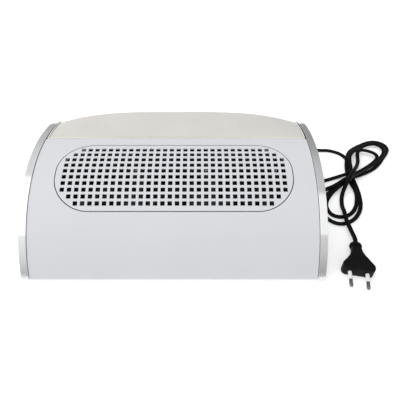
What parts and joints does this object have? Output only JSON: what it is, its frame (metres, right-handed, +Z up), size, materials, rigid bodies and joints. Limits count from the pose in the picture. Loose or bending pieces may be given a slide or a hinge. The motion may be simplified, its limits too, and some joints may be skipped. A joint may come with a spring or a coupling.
{
  "type": "nail dust collector",
  "caption": "Desk-top nail dust collector with an arched housing, square-hole grille, suction fans, hand rest, rear dust bag and mains lead.",
  "frame": {"origin": "centre of the housing and dust bag in plan, on the surface under the feet, without the mains lead", "axes": "+X to the right seen from the front, -Y the front, +Z up"},
  "size_m": [0.4644, 0.2794, 0.0865],
  "materials": {
    "white_abs": "gloss",
    "chrome": "polished",
    "cream_leatherette": "satin",
    "fibreboard": "matte",
    "black_plastic": "satin",
    "grey_plastic": "satin",
    "black_rubber": "matte",
    "cord_sheath": "satin",
    "white_cloth": "matte",
    "elastic": "matte",
    "steel": "satin",
    "board_green": "satin",
    "yellow_tape": "satin",
    "white_sleeve": "satin"
  },
  "bodies": {
    "housing": {"base_pan": "white_abs", "capacitor": "black_plastic", "chrome_trim_left": "chrome", "chrome_trim_right": "chrome", "cord_hank": "cord_sheath", "cord_lead": "cord_sheath", "cord_tail": "cord_sheath", "fan_deck": "grey_plastic", "fan_frame_left": "black_plastic", "fan_frame_middle": "black_plastic", "fan_frame_right": "black_plastic", "hand_rest_board": "fibreboard", "hand_rest_cushion": "cream_leatherette", "plug_body": "cord_sheath", "plug_pin_left": "steel", "plug_pin_right": "steel", "plug_sleeve_left": "white_sleeve", "plug_sleeve_right": "white_sleeve", "power_board": "board_green", "rear_panel": "white_abs", "rubber_foot_1": "black_rubber", "rubber_foot_2": "black_rubber", "rubber_foot_3": "black_rubber", "rubber_foot_4": "black_rubber", "side_panel_left": "white_abs", "side_panel_right": "white_abs", "strain_relief": "cord_sheath", "switch_housing": "black_plastic", "terminal_block": "white_sleeve", "top_cover": "white_abs", "transformer": "yellow_tape", "base_screw_1": "steel", "base_screw_2": "steel", "base_screw_3": "steel", "base_screw_4": "steel", "base_screw_5": "steel", "base_screw_6": "steel", "fan_screw_1": "steel", "fan_screw_2": "steel", "fan_screw_3": "steel", "fan_screw_4": "steel", "fan_screw_5": "steel", "fan_screw_6": "steel"},
    "grille": {"grille": "white_abs"},
    "switch_rocker": {"switch_rocker": "black_plastic"},
    "dust_bag": {"dust_bag": "white_cloth", "bag_elastic": "elastic"},
    "fan_left": {"fan_rotor_left": "grey_plastic"},
    "fan_middle": {"fan_rotor_middle": "grey_plastic"},
    "fan_right": {"fan_rotor_right": "grey_plastic"}
  },
  "joints": [
    {"name": "fan_left_spin", "type": "hinge", "parent": "housing", "child": "fan_left", "pos_m": [-0.084, -0.04355, 0.032], "axis": [0, 0, 1], "continuous": true},
    {"name": "fan_middle_spin", "type": "hinge", "parent": "housing", "child": "fan_middle", "pos_m": [0, -0.04355, 0.032], "axis": [0, 0, 1], "continuous": true},
    {"name": "fan_right_spin", "type": "hinge", "parent": "housing", "child": "fan_right", "pos_m": [0.084, -0.04355, 0.032], "axis": [0, 0, 1], "continuous": true},
    {"name": "grille_lift", "type": "slide", "parent": "housing", "child": "grille", "axis": [0, -0.289, 0.9573], "range_m": [0, 0.03]},
    {"name": "rocker_press", "type": "hinge", "parent": "housing", "child": "switch_rocker", "pos_m": [0.1534, 0.02645, 0.036], "axis": [0, 0, 1], "range_deg": [0, 18]},
    {"name": "bag_pull_off", "type": "slide", "parent": "housing", "child": "dust_bag", "axis": [0, 1, 0], "range_m": [0, 0.03]}
  ]
}
